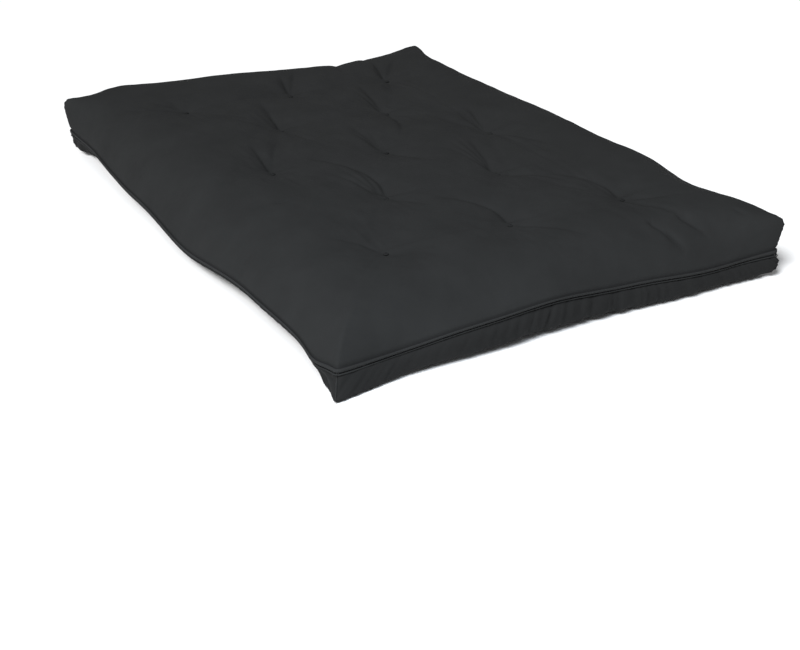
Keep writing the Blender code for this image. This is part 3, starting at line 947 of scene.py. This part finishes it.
# Each layer's node, record slot, material and how tight it is.
LAYERS = [
    ("top_batting", "cotton_batting", COTTON, 0.5),
    ("bottom_batting", "cotton_batting", COTTON, 0.5),
    ("top_foam", "soft_foam", SOFT_FOAM, 0.8),
    ("bottom_foam", "soft_foam", SOFT_FOAM, 0.8),
    ("core", "core_foam", CORE_FOAM, 1.0),
]


def build_filling(top, bottom):
    """The layers inside, each one closed form: batting and soft foam above and below a firm core."""
    half = [half_size - FILL_INSET for half_size in (HALF_X, HALF_Y)]
    x, y = np.meshgrid(*[np.linspace(-h, h, 1 + round(2 * h / FILL_STEP)) for h in half], indexing="ij")
    roof = nearest_height(top, x, y, np.minimum, np.inf) - CLOTH_THICKNESS - FILL_CLEARANCE
    ground = nearest_height(bottom, x, y, np.maximum, -np.inf) + CLOTH_THICKNESS + FILL_CLEARANCE
    lowest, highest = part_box("seat_bottom_batting")[0].z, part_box("seat_top_batting")[1].z

    def level(height):
        return np.stack([x, y, ground + (roof - ground) * (height - lowest) / (highest - lowest)], -1)

    for node, slot, material, fill in LAYERS:
        low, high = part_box(f"seat_{node}")
        piece = between_grids(f"{node}_layer", level(high.z), level(low.z))
        piece.data.materials.append(material)
        bend_with_fold(piece, node)


def nearest_height(points, x, y, pick, start):
    """The lowest or highest of a cover's points round each place of a plan grid."""
    heights = np.full(x.shape, start)
    i = np.rint((points[..., 0] - x[0, 0]) / (x[1, 0] - x[0, 0])).astype(int)
    j = np.rint((points[..., 1] - y[0, 0]) / (y[0, 1] - y[0, 0])).astype(int)
    inside = (i >= 0) & (j >= 0) & (i < x.shape[0]) & (j < x.shape[1])
    pick.at(heights, (i[inside], j[inside]), points[..., 2][inside])
    return heights


# ---------------------------------------------------------------- the stage
FLOOR_REACH = 300               # half the floor's width, so that no view shows its edge


def aimed(direction):
    """The rotation of a light that shines from a direction."""
    return direction.to_track_quat("Z", "Y").to_euler()


def build_stage():
    """A plain pale floor, an even white sky, a soft sun from the left and a cool softbox near the camera."""
    corners = [(-1, -1), (1, -1), (1, 1), (-1, 1)]
    floor_mesh = bpy.data.meshes.new("floor")
    floor_mesh.from_pydata([(FLOOR_REACH * x, FLOOR_REACH * y, 0) for x, y in corners], [], [(0, 1, 2, 3)])
    floor = link(bpy.data.objects.new("floor", floor_mesh))
    floor.location.z = LOW.z - 0.0005
    paint, _, _ = new_material("pale_floor", (0.93, 0.93, 0.93), 0.9)
    floor.data.materials.append(paint)

    world = bpy.data.worlds.new("studio")
    world.use_nodes = True
    sky = world.node_tree.nodes["Background"]
    sky.inputs["Color"].default_value = (1.0, 1.0, 1.0, 1)
    sky.inputs["Strength"].default_value = 0.26
    bpy.context.scene.world = world

    sun = bpy.data.lights.new("key", "SUN")
    sun.energy = 3.78
    sun.angle = math.radians(20)
    key = link(bpy.data.objects.new("key", sun))
    key.rotation_euler = aimed(Vector((-0.62, -0.35, 0.70)))

    box = bpy.data.lights.new("softbox", "AREA")
    box.shape = "DISK"
    box.size = 1.4
    box.energy = 42
    box.color = (0.80, 0.90, 1.0)
    softbox = link(bpy.data.objects.new("softbox", box))
    softbox.location = (-1.3, -2.0, 2.0)
    softbox.rotation_euler = aimed(softbox.location - Vector((-0.5, -0.7, 0.1)))
    bpy.context.scene.view_settings.view_transform = "Standard"


def build_camera():
    """A camera that looks down at the near left corner, a little tilted."""
    azimuth, elevation, roll = (math.radians(angle) for angle in (-31.27, 27.13, 0.94))
    distance = 3.30
    target = Vector((-0.365, -0.696, 0.0))
    level = math.cos(elevation)
    back = Vector((math.sin(azimuth) * level, -math.cos(azimuth) * level, math.sin(elevation)))
    right = Vector((math.cos(azimuth), math.sin(azimuth), 0))
    up = back.cross(right)
    tilted = right * math.cos(roll) + up * math.sin(roll)
    upright = up * math.cos(roll) - right * math.sin(roll)
    camera = bpy.data.cameras.new("camera")
    camera.lens = 57.95
    camera.sensor_width = 36
    obj = link(bpy.data.objects.new("camera", camera))
    turn = Matrix((tilted, upright, back)).transposed().to_4x4()
    obj.matrix_world = Matrix.Translation(target + back * distance) @ turn
    bpy.context.scene.camera = obj


build_camera()
TOP_POINTS, BOTTOM_POINTS = build_case()
build_edge()
build_stitches()
build_corner_seams(TOP_POINTS, BOTTOM_POINTS)
build_tufts()
build_filling(TOP_POINTS, BOTTOM_POINTS)
build_stage()
